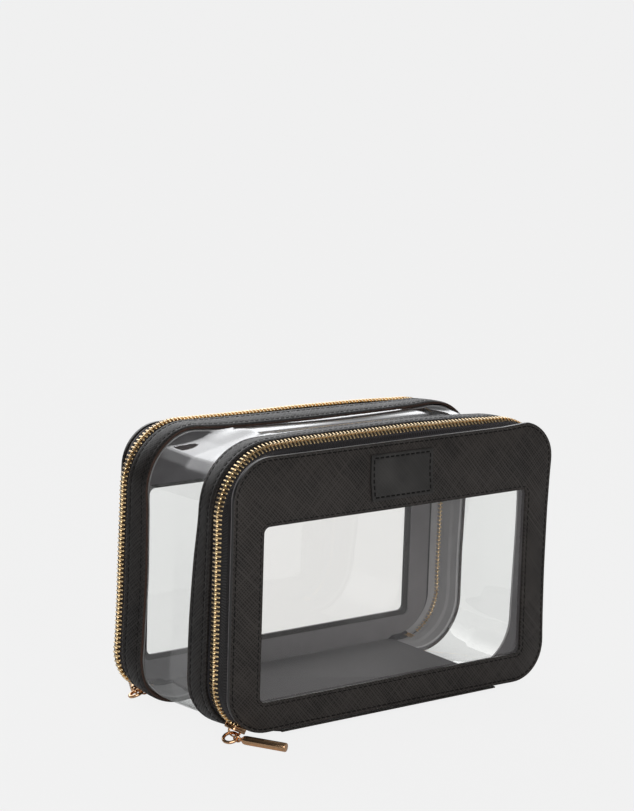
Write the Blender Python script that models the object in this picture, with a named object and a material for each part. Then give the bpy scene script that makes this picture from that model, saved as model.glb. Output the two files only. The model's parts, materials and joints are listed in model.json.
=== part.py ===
"""Clear makeup bag with two zipped faces, as separate solids.

The case is a clear PVC gusset band held between two leather strips and closed at the
bottom by a stiff base.  A framed panel with a clear window closes the front, and
another the rear.  Each panel is hinged along its bottom edge and zipped round the
other three sides.  The sliders are parked at the bottom left corners, with their
pulls lying on the surface that the bag stands on.

X runs along the bag, -Y is the front, +Z is up.  The origin is on the surface that
the bag stands on, under the middle of the bag.  Lengths are in metres.
"""

import math

import bmesh
import bpy
from mathutils import Matrix, Vector

MM = 0.001
FRONT, REAR = -1, 1

# ---- Driving dimensions -------------------------------------------------------------

GAP = 0.3 * MM                    # between pieces that are sewn or pressed together
ARC_STEPS = 8                     # flat facets round each rounded corner
CORNER_TURN = 90.0                # degrees that one corner of an outline takes
WHOLE_TURN = 4 * CORNER_TURN

# Framed panels
PANEL_WIDTH = 220.0 * MM
PANEL_HEIGHT = 149.4 * MM
PANEL_CORNER = 23.0 * MM
PANEL_BOTTOM = 4.6 * MM           # height of a panel's lower edge above the ground
PANEL_TO_PANEL = 107.4 * MM       # outer face of one panel to that of the other
FRAME_THICKNESS = 1.8 * MM
FRAME_EDGE_ROUND = 0.5 * MM
BACKING_THICKNESS = 0.7 * MM
WINDOW_SIDE_MARGIN = 18.0 * MM
WINDOW_TOP_MARGIN = 37.0 * MM
WINDOW_BOTTOM_MARGIN = 17.0 * MM
WINDOW_CORNER = 4.5 * MM
WINDOW_SHEET = 0.5 * MM
WINDOW_SEAM = 6.0 * MM            # how far the clear sheet runs under its frame

# Label patch on the front panel
PATCH_WIDTH = 42.5 * MM
PATCH_HEIGHT = 25.5 * MM
PATCH_THICKNESS = 1.2 * MM
PATCH_CORNER = 1.0 * MM
PATCH_BELOW_EDGE = 6.0 * MM       # from the panel's top edge to the patch

# Zip track: the outer surface of the teeth, round the whole bag
TRACK_SIDE_PROUD = 4.0 * MM       # beyond the panels' sides
TRACK_TOP_PROUD = 3.6 * MM        # above their top edges
TRACK_BELOW = 1.0 * MM            # under their lower edges
TRACK_TOP_CORNER = 36.0 * MM
TRACK_BOTTOM_CORNER = 30.0 * MM
TRACK_SETBACK = 10.0 * MM         # from a panel's outer face to the zip's middle
CHAIN_WIDTH = 6.4 * MM
TOOTH_THICKNESS = 2.6 * MM
TAPE_THICKNESS = 0.6 * MM
TAPE_SEAM = 5.0 * MM              # how far the tape runs in behind a panel
ZIP_START_TURN = 16.0             # degrees up the bottom left corner
ZIP_END_TURN = 20.0               # degrees up the bottom right corner
STOP_LENGTH_TURN = 7.0            # degrees of corner that an end stop covers
PARKED_CLEARANCE_TURN = 3.0       # from the parked slider to the flap's zip half

# Gusset: clear band, leather strips and their raw inner edges
STRIP_OUTER = 38.6 * MM           # from the middle of the bag
STRIP_INNER = 23.8 * MM
STRIP_THICKNESS = 1.8 * MM
STRIP_PROUD = 0.9 * MM            # how far the strips stand out over the teeth
STRIP_EDGE_ROUND = 0.4 * MM
EDGE_WIDTH = 1.5 * MM
EDGE_INSET = 0.2 * MM
BAND_SEAM = 6.2 * MM              # how far the clear band runs under each strip
BAND_THICKNESS = 0.6 * MM

# Base: each END is measured in from the end of the track's level stretch
COVER_END = 8.0 * MM
COVER_WIDTH = 72.0 * MM
COVER_THICKNESS = 1.9 * MM
COVER_CORNER = 6.0 * MM
BOARD_END = 14.0 * MM
LINING_END = 4.0 * MM
LINING_SIDE = 4.1 * MM            # from the lining's edge to the back of each panel
LINING_THICKNESS = 1.0 * MM
HINGE_END = 9.0 * MM
HINGE_REACH = 0.2 * MM            # from the panel's outer face back to the hinge edge

# Sliders and pulls
SLIDER_LENGTH = 10.0 * MM
SLIDER_WIDTH = 9.4 * MM
SLIDER_PLATE = 1.6 * MM
SLIDER_RUNNING_GAP = 0.35 * MM
SLIDER_ROUND = 0.5 * MM
CROWN_LENGTH = 9.0 * MM
CROWN_WIDTH = 1.8 * MM
CROWN_BAR = 1.0 * MM
CROWN_POST = 1.0 * MM
RING_RADIUS = 3.9 * MM
RING_WIRE = 0.85 * MM
RING_PLAY = 0.45 * MM             # round the ring's wire inside the crown
EYE_WIRE = 0.6 * MM
ROD_RADIUS = 2.4 * MM
ROD_LENGTH = 26.0 * MM
ROD_CHAMFER = 0.35 * MM
PULL_HEADING = 28.0               # degrees from straight ahead towards the right
GROUND_GAP = 0.3 * MM             # pulls over the surface that the bag stands on

# ---- Sizes that follow --------------------------------------------------------------

FACE = PANEL_TO_PANEL / 2
BACK_OF_FRAME = FACE - FRAME_THICKNESS
WINDOW_FRONT = BACK_OF_FRAME - GAP
WINDOW_BACK = WINDOW_FRONT - WINDOW_SHEET
BACKING_FRONT = WINDOW_BACK - GAP
PANEL_BACK = BACKING_FRONT - BACKING_THICKNESS
TRACK_WIDTH = PANEL_WIDTH + 2 * TRACK_SIDE_PROUD
TRACK_TOP = PANEL_BOTTOM + PANEL_HEIGHT + TRACK_TOP_PROUD
TRACK_BOTTOM = PANEL_BOTTOM - TRACK_BELOW
TRACK_MIDDLE = FACE - TRACK_SETBACK
CHAIN_INNER = TRACK_MIDDLE - CHAIN_WIDTH / 2
CHAIN_OUTER = TRACK_MIDDLE + CHAIN_WIDTH / 2
TAPE_TOP = -(TOOTH_THICKNESS - TAPE_THICKNESS) / 2
TAPE_UNDER = TAPE_TOP - TAPE_THICKNESS
STRIP_UNDER = STRIP_PROUD - STRIP_THICKNESS
BAND_TOP = STRIP_UNDER - GAP
BAND_UNDER = BAND_TOP - BAND_THICKNESS
BAND_HALF = STRIP_INNER + BAND_SEAM
LEVEL_STRETCH = TRACK_WIDTH - 2 * TRACK_BOTTOM_CORNER
COVER_TOP = COVER_THICKNESS
BOARD_BOTTOM = COVER_TOP + GAP
BOARD_TOP = TRACK_BOTTOM - BAND_TOP - GAP
LINING_BOTTOM = TRACK_BOTTOM - BAND_UNDER + GAP
HINGE_BOTTOM = COVER_TOP + GAP
HINGE_TOP = PANEL_BOTTOM - GAP
HINGE_OUTER = FACE - HINGE_REACH
ROD_HEIGHT = ROD_RADIUS + GROUND_GAP
HINGE_HEIGHT = ROD_HEIGHT + ROD_RADIUS + GAP

# The slider parks where its ring, lying down, brings the rod to the ground.
PLATE_TOP = SLIDER_RUNNING_GAP + SLIDER_PLATE
CROWN_GAP = 2 * (RING_WIRE + RING_PLAY)
SLOT_OUT = PLATE_TOP + CROWN_GAP / 2
SLOT_HEIGHT = 2 * ROD_HEIGHT - RING_WIRE - GROUND_GAP
CORNER_X = TRACK_BOTTOM_CORNER - TRACK_WIDTH / 2
CORNER_Z = TRACK_BOTTOM + TRACK_BOTTOM_CORNER
PARK_TURN = math.degrees(math.acos((CORNER_Z - SLOT_HEIGHT) / (TRACK_BOTTOM_CORNER + SLOT_OUT)))
RING_DROP = math.asin((SLOT_HEIGHT - ROD_HEIGHT) / RING_RADIUS)
SLIDER_HALF_TURN = math.degrees((SLIDER_LENGTH / 2 + GAP) / TRACK_BOTTOM_CORNER)
FLAP_ZIP_START = PARK_TURN + SLIDER_HALF_TURN + PARKED_CLEARANCE_TURN


# ---- Outlines -----------------------------------------------------------------------

class Outline:
    """A rounded rectangle in the XZ plane, symmetric about X = 0."""

    def __init__(self, half_width, bottom, top, bottom_corner, top_corner):
        self.half_width = half_width
        self.bottom = bottom
        self.top = top
        self.bottom_corner = bottom_corner
        self.top_corner = top_corner

    def point(self, station, out):
        """The point at a station, moved outwards. Turns run down, left, up, right, down."""
        corner, turn = station
        left = corner in ("bottom_left", "top_left")
        low = corner in ("bottom_left", "bottom_right")
        radius = self.bottom_corner if low else self.top_corner
        middle_x = (radius - self.half_width) * (1 if left else -1)
        middle_z = self.bottom + radius if low else self.top - radius
        angle = math.radians(turn)
        return (
            middle_x - (radius + out) * math.sin(angle),
            middle_z - (radius + out) * math.cos(angle),
        )


TRACK = Outline(TRACK_WIDTH / 2, TRACK_BOTTOM, TRACK_TOP, TRACK_BOTTOM_CORNER, TRACK_TOP_CORNER)
PANEL = Outline(
    PANEL_WIDTH / 2, PANEL_BOTTOM, PANEL_BOTTOM + PANEL_HEIGHT, PANEL_CORNER, PANEL_CORNER
)
WINDOW = Outline(
    PANEL_WIDTH / 2 - WINDOW_SIDE_MARGIN,
    PANEL_BOTTOM + WINDOW_BOTTOM_MARGIN,
    PANEL_BOTTOM + PANEL_HEIGHT - WINDOW_TOP_MARGIN,
    WINDOW_CORNER,
    WINDOW_CORNER,
)


def stations(first=0.0, last=WHOLE_TURN):
    """Places round an outline, from the bottom left corner to the bottom right one."""
    corners = ("bottom_left", "top_left", "top_right", "bottom_right")
    found = []
    for number, corner in enumerate(corners):
        low = max(first, CORNER_TURN * number)
        high = min(last, CORNER_TURN * (number + 1))
        for step in range(ARC_STEPS + 1):
            found.append((corner, low + (high - low) * step / ARC_STEPS))
    return found


# ---- Building helpers ---------------------------------------------------------------

def material(name, colour, roughness, metallic=0.0, alpha=1.0):
    """A plain Principled material."""
    made = bpy.data.materials.new(name)
    made.use_nodes = True
    shader = made.node_tree.nodes["Principled BSDF"]
    shader.inputs["Base Color"].default_value = (*colour, 1.0)
    shader.inputs["Roughness"].default_value = roughness
    shader.inputs["Metallic"].default_value = metallic
    shader.inputs["Alpha"].default_value = alpha
    made.diffuse_color = (*colour, alpha)
    return made


def axis_empty(name, place, parent=None):
    """An empty on a joint's axis, which carries the pieces that move about it."""
    empty = bpy.data.objects.new(name, None)
    empty.empty_display_size = 10 * MM
    bpy.context.collection.objects.link(empty)
    empty.parent = parent
    empty.location = place - (Vector(parent["place"]) if parent else Vector())
    empty["place"] = place
    return empty


def add_piece(name, shape, finish, carrier=None):
    """Turn a bmesh in world coordinates into a named object on its carrier."""
    bmesh.ops.recalc_face_normals(shape, faces=shape.faces[:])
    if carrier:
        bmesh.ops.translate(shape, verts=shape.verts[:], vec=-Vector(carrier["place"]))
    mesh = bpy.data.meshes.new(name)
    shape.to_mesh(mesh)
    shape.free()
    mesh.materials.append(finish)
    piece = bpy.data.objects.new(name, mesh)
    bpy.context.collection.objects.link(piece)
    piece.parent = carrier
    return piece


def sweep(section, path, side, closed):
    """Carry a section of (outline, distance from the middle, outwards) along a path."""
    shape = bmesh.new()
    rings = []
    for station in path:
        ring = []
        for outline, across, out in section:
            x, z = outline.point(station, out)
            ring.append(shape.verts.new((x, side * across, z)))
        rings.append(ring)
    count = len(section)
    pairs = list(zip(rings, rings[1:]))
    if closed:
        pairs.append((rings[-1], rings[0]))
    for one, two in pairs:
        for index in range(count):
            after = (index + 1) % count
            shape.faces.new((one[index], one[after], two[after], two[index]))
    if not closed:
        shape.faces.new(rings[0])
        shape.faces.new(rings[-1])
    bmesh.ops.remove_doubles(shape, verts=shape.verts[:], dist=1e-7)
    return shape


def slab(outline, out, near, far, side):
    """A flat sheet with an outline's shape, between two distances from the middle."""
    shape = bmesh.new()
    corners = [shape.verts.new((x, side * near, z)) for x, z in
               (outline.point(station, out) for station in stations())]
    face = shape.faces.new(corners)
    grown = bmesh.ops.extrude_face_region(shape, geom=[face])
    moved = [item for item in grown["geom"] if isinstance(item, bmesh.types.BMVert)]
    bmesh.ops.translate(shape, verts=moved, vec=(0, side * (far - near), 0))
    return shape


def rounded_box(size, rounding, matrix):
    """A box with rounded edges, placed by a matrix."""
    shape = bmesh.new()
    bmesh.ops.create_cube(shape, size=1.0)
    bmesh.ops.scale(shape, vec=size, verts=shape.verts[:])
    bmesh.ops.bevel(
        shape, geom=shape.edges[:], offset=rounding, segments=1, profile=0.5,
        affect="EDGES", material=-1,
    )
    bmesh.ops.transform(shape, matrix=matrix, verts=shape.verts[:])
    return shape


def board(length, width, bottom, top, corner):
    """A flat board that lies level, with rounded corners in plan."""
    shape = bmesh.new()
    bmesh.ops.create_cube(shape, size=1.0)
    bmesh.ops.scale(shape, vec=(length, width, top - bottom), verts=shape.verts[:])
    bmesh.ops.translate(shape, vec=(0, 0, (top + bottom) / 2), verts=shape.verts[:])
    if corner:
        upright = [edge for edge in shape.edges
                   if abs(edge.verts[0].co.z - edge.verts[1].co.z) > (top - bottom) / 2]
        bmesh.ops.bevel(
            shape, geom=upright, offset=corner, segments=4, profile=0.5,
            affect="EDGES", material=-1,
        )
    return shape


def torus(radius, wire, matrix, turns=28, facets=10):
    """A closed ring of round wire, placed by a matrix, its axis on the matrix's Z."""
    shape = bmesh.new()
    made = bmesh.ops.create_circle(shape, segments=facets, radius=wire)
    turn = Matrix.Translation((radius, 0, 0)) @ Matrix.Rotation(math.radians(90), 4, "X")
    bmesh.ops.transform(shape, matrix=turn, verts=made["verts"])
    bmesh.ops.spin(
        shape, geom=shape.verts[:] + shape.edges[:], cent=(0, 0, 0), axis=(0, 0, 1),
        angle=math.radians(360), steps=turns, use_merge=True,
    )
    bmesh.ops.remove_doubles(shape, verts=shape.verts[:], dist=1e-6)
    bmesh.ops.transform(shape, matrix=matrix, verts=shape.verts[:])
    return shape


def frame_matrix(origin, x_axis, y_axis, z_axis):
    """A matrix from an origin and three axes."""
    rows = [(x_axis[i], y_axis[i], z_axis[i], origin[i]) for i in range(3)]
    return Matrix((*rows, (0, 0, 0, 1)))


def eased(across_low, across_high, low, high, rounding, outline=TRACK):
    """A strip's section with its two outer edges eased."""
    return [
        (outline, across_low, low),
        (outline, across_high, low),
        (outline, across_high, high - rounding),
        (outline, across_high - rounding, high),
        (outline, across_low + rounding, high),
        (outline, across_low, high - rounding),
    ]


def plain(across_low, across_high, low, high, outline=TRACK):
    """A rectangular section."""
    return [
        (outline, across_low, low),
        (outline, across_high, low),
        (outline, across_high, high),
        (outline, across_low, high),
    ]


# ---- Case: gusset, base and the case's half of each zip -------------------------------

def clear_band(finishes):
    """The clear PVC band round the sides, top and lower corners. Its ends meet the base."""
    section = plain(-BAND_HALF, BAND_HALF, BAND_UNDER, BAND_TOP)
    path = stations()
    add_piece("clear_gusset", sweep(section, path, 1, closed=True), finishes["clear_pvc"])


def gusset_strip(word, side, finishes):
    """The leather strip beside each zip, with its raw inner edge as a piece of its own."""
    strip = eased(STRIP_INNER, STRIP_OUTER, STRIP_UNDER, STRIP_PROUD, STRIP_EDGE_ROUND)
    add_piece(f"{word}_gusset_strip", sweep(strip, stations(), side, True), finishes["leather"])
    edge_outer = STRIP_INNER - GAP
    edge = plain(edge_outer - EDGE_WIDTH, edge_outer, STRIP_UNDER, STRIP_PROUD - EDGE_INSET)
    add_piece(f"{word}_strip_edge", sweep(edge, stations(), side, True), finishes["raw_edge"])


def case_zip_half(word, side, finishes):
    """The tape sewn under the strip, its row of teeth, and the stop at the zip's end."""
    last = WHOLE_TURN - ZIP_END_TURN
    path = stations(ZIP_START_TURN, last)
    tape = plain(BAND_HALF + GAP, CHAIN_INNER - GAP, TAPE_UNDER, TAPE_TOP)
    add_piece(f"{word}_case_tape", sweep(tape, stations(), side, True), finishes["tape"])
    teeth = tooth_row(CHAIN_INNER, TRACK_MIDDLE - GAP / 2)
    add_piece(f"{word}_case_teeth", sweep(teeth, path, side, False), finishes["tooth_metal"])
    gap_turn = math.degrees(GAP / TRACK_BOTTOM_CORNER)
    stop_path = stations(last + gap_turn, last + gap_turn + STOP_LENGTH_TURN)
    stop_path = stop_path[-ARC_STEPS - 1:]
    stop = plain(CHAIN_INNER, CHAIN_OUTER, -TOOTH_THICKNESS, 0.0)
    add_piece(f"{word}_end_stop", sweep(stop, stop_path, side, False), finishes["tooth_metal"])


def tooth_row(inner, outer):
    """Section of one row of teeth, with the four long edges eased."""
    ease = TOOTH_THICKNESS / 6
    return [
        (TRACK, inner, -TOOTH_THICKNESS + ease),
        (TRACK, inner + ease, -TOOTH_THICKNESS),
        (TRACK, outer - ease, -TOOTH_THICKNESS),
        (TRACK, outer, -TOOTH_THICKNESS + ease),
        (TRACK, outer, -ease),
        (TRACK, outer - ease, 0.0),
        (TRACK, inner + ease, 0.0),
        (TRACK, inner, -ease),
    ]


def base(finishes):
    """The leather cover that the bag stands on, the stiff board, and the lining inside."""
    cover = board(LEVEL_STRETCH - 2 * COVER_END, COVER_WIDTH, 0.0, COVER_TOP, COVER_CORNER)
    add_piece("base_cover", cover, finishes["leather"])
    between_strips = 2 * (STRIP_INNER - GAP - EDGE_WIDTH - GAP)
    board_length = LEVEL_STRETCH - 2 * BOARD_END
    stiff = board(board_length, between_strips, BOARD_BOTTOM, BOARD_TOP, 0.0)
    add_piece("base_board", stiff, finishes["board"])
    lining_length = LEVEL_STRETCH - 2 * LINING_END
    lining_width = 2 * (PANEL_BACK - LINING_SIDE)
    lining_top = LINING_BOTTOM + LINING_THICKNESS
    lining = board(lining_length, lining_width, LINING_BOTTOM, lining_top, COVER_CORNER)
    add_piece("base_lining", lining, finishes["lining"])


def hinge_strip(word, side, finishes):
    """The leather strip that joins the base to a panel's lower edge."""
    inner = STRIP_OUTER + GAP
    length = LEVEL_STRETCH - 2 * HINGE_END
    shape = board(length, HINGE_OUTER - inner, HINGE_BOTTOM, HINGE_TOP, 0.0)
    middle = side * (HINGE_OUTER + inner) / 2
    bmesh.ops.translate(shape, vec=(0, middle, 0), verts=shape.verts[:])
    add_piece(f"{word}_hinge_strip", shape, finishes["leather"])


# ---- Flaps: framed panels that swing down ---------------------------------------------

def flap(word, side, finishes):
    """A framed panel with its window, backing and half of the zip, on its hinge line."""
    carrier = axis_empty(f"{word}_flap_axis", Vector((0, side * FACE, HINGE_HEIGHT)))
    ease = FRAME_EDGE_ROUND
    frame = [
        (PANEL, BACK_OF_FRAME, 0.0),
        (PANEL, FACE - ease, 0.0),
        (PANEL, FACE, -ease),
        (WINDOW, FACE, ease / 2),
        (WINDOW, FACE - ease / 2, 0.0),
        (WINDOW, BACK_OF_FRAME, 0.0),
    ]
    add_piece(f"{word}_frame", sweep(frame, stations(), side, True), finishes["leather"], carrier)
    sheet = slab(WINDOW, WINDOW_SEAM, WINDOW_BACK, WINDOW_FRONT, side)
    add_piece(f"{word}_window", sheet, finishes["clear_pvc"], carrier)
    backing = [
        (PANEL, PANEL_BACK, 0.0),
        (PANEL, BACKING_FRONT, 0.0),
        (WINDOW, BACKING_FRONT, 0.0),
        (WINDOW, PANEL_BACK, 0.0),
    ]
    add_piece(f"{word}_backing", sweep(backing, stations(), side, True), finishes["lining"], carrier)
    path = stations(FLAP_ZIP_START, WHOLE_TURN - ZIP_END_TURN)
    sewn = PANEL_BACK - GAP
    tape = [
        (TRACK, CHAIN_OUTER + GAP, TAPE_UNDER),
        (TRACK, CHAIN_OUTER + GAP, TAPE_TOP),
        (PANEL, sewn, -TAPE_THICKNESS),
        (PANEL, sewn, -TAPE_SEAM),
        (PANEL, sewn - TAPE_THICKNESS, -TAPE_SEAM),
        (PANEL, sewn - TAPE_THICKNESS, -TAPE_THICKNESS * 2),
    ]
    add_piece(f"{word}_flap_tape", sweep(tape, path, side, False), finishes["tape"], carrier)
    teeth = tooth_row(TRACK_MIDDLE + GAP / 2, CHAIN_OUTER)
    add_piece(f"{word}_flap_teeth", sweep(teeth, path, side, False), finishes["tooth_metal"], carrier)
    return carrier


def label_patch(carrier, finishes):
    """The plain stitched patch above the front window."""
    top = PANEL.top - PATCH_BELOW_EDGE
    outline = Outline(PATCH_WIDTH / 2, top - PATCH_HEIGHT, top, PATCH_CORNER, PATCH_CORNER)
    near = FACE + GAP
    sheet = slab(outline, 0.0, near, near + PATCH_THICKNESS, FRONT)
    add_piece("label_patch", sheet, finishes["leather"], carrier)


# ---- Sliders and pulls ----------------------------------------------------------------

def slider_and_pull(word, side, finishes):
    """A slider on the corner of its zip, the ring in its crown, and the rod on the ring."""
    turn = math.radians(PARK_TURN)
    out = Vector((-math.sin(turn), 0, -math.cos(turn)))
    along = Vector((-math.cos(turn), 0, math.sin(turn)))
    across = Vector((0, 1, 0))
    corner = Vector((CORNER_X, side * TRACK_MIDDLE, CORNER_Z))
    run_axis = axis_empty(f"{word}_slider_axis", corner)

    def on_track(height):
        return corner + out * (TRACK_BOTTOM_CORNER + height)

    plate_middle = on_track(SLIDER_RUNNING_GAP + SLIDER_PLATE / 2)
    plate = rounded_box(
        (SLIDER_LENGTH, SLIDER_WIDTH, SLIDER_PLATE), SLIDER_ROUND,
        frame_matrix(plate_middle, along, across, out),
    )
    add_piece(f"{word}_slider_body", plate, finishes["slider_metal"], run_axis)
    add_piece(f"{word}_slider_crown", crown(on_track(PLATE_TOP), along, across, out),
              finishes["slider_metal"], run_axis)

    heading = math.radians(PULL_HEADING)
    ahead = Vector((math.sin(heading), side * math.cos(heading), 0))
    level = Vector((-math.cos(heading), side * math.sin(heading), 0))
    slope = level * math.cos(RING_DROP) + Vector((0, 0, -math.sin(RING_DROP)))
    slot = on_track(SLOT_OUT)
    ring_middle = slot + slope * RING_RADIUS
    ring_axis = axis_empty(f"{word}_ring_axis", slot, run_axis)
    ring = torus(RING_RADIUS, RING_WIRE,
                 frame_matrix(ring_middle, ahead, slope, ahead.cross(slope)))
    add_piece(f"{word}_pull_ring", ring, finishes["slider_metal"], ring_axis)

    eye_middle = ring_middle + ahead * RING_RADIUS
    eye_radius = RING_WIRE + GAP + EYE_WIRE
    rod_axis = axis_empty(f"{word}_rod_axis", eye_middle, ring_axis)
    eye = torus(eye_radius, EYE_WIRE,
                frame_matrix(eye_middle, ahead, ahead.cross(slope), slope), 18, 8)
    add_piece(f"{word}_pull_eye", eye, finishes["slider_metal"], rod_axis)
    start = eye_radius + EYE_WIRE + GAP
    rod_middle = eye_middle + ahead * (start + ROD_LENGTH / 2)
    add_piece(f"{word}_pull_rod", rod(rod_middle, ahead), finishes["slider_metal"], rod_axis)


def crown(seat, along, across, out):
    """The arched bar on the slider, with the ring's slot under it."""
    foot = GAP
    opening = CROWN_GAP
    top = opening + CROWN_BAR
    end = CROWN_LENGTH / 2
    inside = end - CROWN_POST
    lean = CROWN_BAR
    corners = [
        (-end, foot), (-end, top - lean), (-end + lean, top), (end - lean, top),
        (end, top - lean), (end, foot), (inside, foot), (inside, opening),
        (-inside, opening), (-inside, foot),
    ]
    shape = bmesh.new()
    edge = [shape.verts.new(seat + along * a + out * h - across * CROWN_WIDTH / 2)
            for a, h in corners]
    face = shape.faces.new(edge)
    grown = bmesh.ops.extrude_face_region(shape, geom=[face])
    moved = [item for item in grown["geom"] if isinstance(item, bmesh.types.BMVert)]
    bmesh.ops.translate(shape, verts=moved, vec=across * CROWN_WIDTH)
    bmesh.ops.triangulate(shape, faces=[f for f in shape.faces if len(f.verts) > 4])
    return shape


def rod(middle, ahead):
    """The turned pull rod, with its end edges chamfered."""
    shape = bmesh.new()
    bmesh.ops.create_cone(
        shape, cap_ends=True, cap_tris=False, segments=24,
        radius1=ROD_RADIUS, radius2=ROD_RADIUS, depth=ROD_LENGTH,
    )
    rims = [edge for edge in shape.edges if abs(edge.verts[0].co.z - edge.verts[1].co.z) < 1e-6]
    bmesh.ops.bevel(
        shape, geom=rims, offset=ROD_CHAMFER, segments=1, profile=0.5,
        affect="EDGES", material=-1,
    )
    side_axis = Vector((0, 0, 1)).cross(ahead)
    matrix = frame_matrix(middle, side_axis, ahead.cross(side_axis), ahead)
    bmesh.ops.transform(shape, matrix=matrix, verts=shape.verts[:])
    return shape


# ---- The whole bag --------------------------------------------------------------------

for old in list(bpy.data.objects):
    bpy.data.objects.remove(old, do_unlink=True)

FINISHES = {
    "leather": material("leather", (0.028, 0.026, 0.025), 0.48),
    "lining": material("lining", (0.045, 0.043, 0.048), 0.8),
    "board": material("board", (0.02, 0.02, 0.02), 0.8),
    "raw_edge": material("raw_edge", (0.055, 0.022, 0.012), 0.7),
    "clear_pvc": material("clear_pvc", (0.86, 0.9, 0.9), 0.06, 0.0, 0.25),
    "tape": material("tape", (0.012, 0.011, 0.011), 0.9),
    "tooth_metal": material("tooth_metal", (0.80, 0.58, 0.30), 0.28, 1.0),
    "slider_metal": material("slider_metal", (0.82, 0.50, 0.28), 0.16, 1.0),
}

clear_band(FINISHES)
base(FINISHES)
for WORD, SIDE in (("front", FRONT), ("rear", REAR)):
    gusset_strip(WORD, SIDE, FINISHES)
    case_zip_half(WORD, SIDE, FINISHES)
    hinge_strip(WORD, SIDE, FINISHES)
    FLAP_AXIS = flap(WORD, SIDE, FINISHES)
    if SIDE == FRONT:
        label_patch(FLAP_AXIS, FINISHES)
    slider_and_pull(WORD, SIDE, FINISHES)
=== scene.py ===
import json
import math

import bmesh
import bpy
import numpy as np
from mathutils import Matrix, Vector


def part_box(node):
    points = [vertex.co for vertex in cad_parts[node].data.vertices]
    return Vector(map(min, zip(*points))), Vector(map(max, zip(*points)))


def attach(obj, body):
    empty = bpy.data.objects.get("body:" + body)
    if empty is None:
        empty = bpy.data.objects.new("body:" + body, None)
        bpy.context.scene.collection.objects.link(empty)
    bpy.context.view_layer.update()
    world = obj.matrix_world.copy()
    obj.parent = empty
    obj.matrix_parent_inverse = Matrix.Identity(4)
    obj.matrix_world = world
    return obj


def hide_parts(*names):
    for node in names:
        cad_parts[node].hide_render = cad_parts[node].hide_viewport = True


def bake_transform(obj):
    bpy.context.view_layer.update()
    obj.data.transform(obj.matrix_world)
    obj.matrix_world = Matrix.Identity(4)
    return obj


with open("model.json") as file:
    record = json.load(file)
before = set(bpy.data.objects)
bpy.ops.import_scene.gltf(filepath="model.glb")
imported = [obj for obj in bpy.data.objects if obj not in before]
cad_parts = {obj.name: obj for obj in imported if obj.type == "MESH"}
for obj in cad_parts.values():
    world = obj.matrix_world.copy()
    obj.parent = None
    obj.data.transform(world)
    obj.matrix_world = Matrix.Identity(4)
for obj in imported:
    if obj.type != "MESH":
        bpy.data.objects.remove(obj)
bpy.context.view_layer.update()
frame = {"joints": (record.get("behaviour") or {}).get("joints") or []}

MM = 0.001


# ---- Clear band ----------------------------------------------
# One long strip of clear vinyl, 0.6 mm thick, is bent round the bag from end to end.
# It joins the two leather strips and sags between them where nothing holds it up.

TRACK_HALF = 114.0                # half the width over the zips
TRACK_LOW, TRACK_HIGH = 3.6, 157.6
TRACK_LOW_CORNER, TRACK_HIGH_CORNER = 30.0, 36.0
PANEL_HALF = 110.0
PANEL_LOW, PANEL_HIGH = 4.6, 154.0
PANEL_CORNER = 23.0
ZIP_MIDDLE = 43.7                 # from the middle of the bag to the middle of each zip
ZIP_EDGE = 47.2                   # where the teeth end and bare tape begins
PANEL_BACK = 51.6                 # where the tape ends, behind each panel's leather
FACE = 53.7
TUCK = 0.9                        # how far inside a panel's outline the tape ends
HALF_HEIGHT = 80.0


def outline(half, low, high, low_corner, high_corner, place):
    """Points and outward directions round a rounded rectangle. Place runs from 0 at the
    middle of the bottom, up the left side at 2, over the top at 4 and back at 8."""
    place = np.mod(np.asarray(place, float), 8.0)
    flip = np.where(place > 4.0, -1.0, 1.0)
    place = np.where(place > 4.0, 8.0 - place, place)
    upper = place > 2.5
    corner = np.where(upper, high_corner, low_corner)
    level = np.clip(np.where(upper, (4.0 - place) * 2.0, place), 0.0, 1.0)
    # the lower corner lies between 1 and 2, the upper one between 3 and 3.5
    turn = np.clip(place - 1.0, 0.0, 1.0) + 2.0 * np.clip(place - 3.0, 0.0, 0.5)
    turn *= math.pi / 2
    rise = (high - high_corner - low - low_corner) * np.clip(place - 2.0, 0.0, 1.0)
    x = -(half - corner) * level - corner * np.sin(turn)
    z = low + low_corner + rise - corner * np.cos(turn)
    return x * flip, z, -np.sin(turn) * flip, -np.cos(turn)


def track(place):
    """The outline over the zips."""
    return outline(TRACK_HALF, TRACK_LOW, TRACK_HIGH, TRACK_LOW_CORNER, TRACK_HIGH_CORNER, place)


def panel_edge(place, inset):
    """The outline of a panel, or a line that far inside it."""
    return outline(
        PANEL_HALF - inset, PANEL_LOW + inset, PANEL_HIGH - inset,
        PANEL_CORNER - inset, PANEL_CORNER - inset, place,
    )


PLACES = np.linspace(0.0, 8.0, 3201)
TRACK_X, TRACK_Z, _, _ = track(PLACES)
LENGTHS = np.concatenate(
    ([0.0], np.cumsum(np.hypot(np.diff(TRACK_X), np.diff(TRACK_Z))))
)
ROUND = LENGTHS[-1]               # once round the zip track


def place_at(along):
    """The place at a distance round the track."""
    return np.interp(np.mod(along, ROUND), LENGTHS, PLACES)


def distance_to(place):
    """The distance round the track to a place."""
    return float(np.interp(place, PLACES, LENGTHS))


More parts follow.
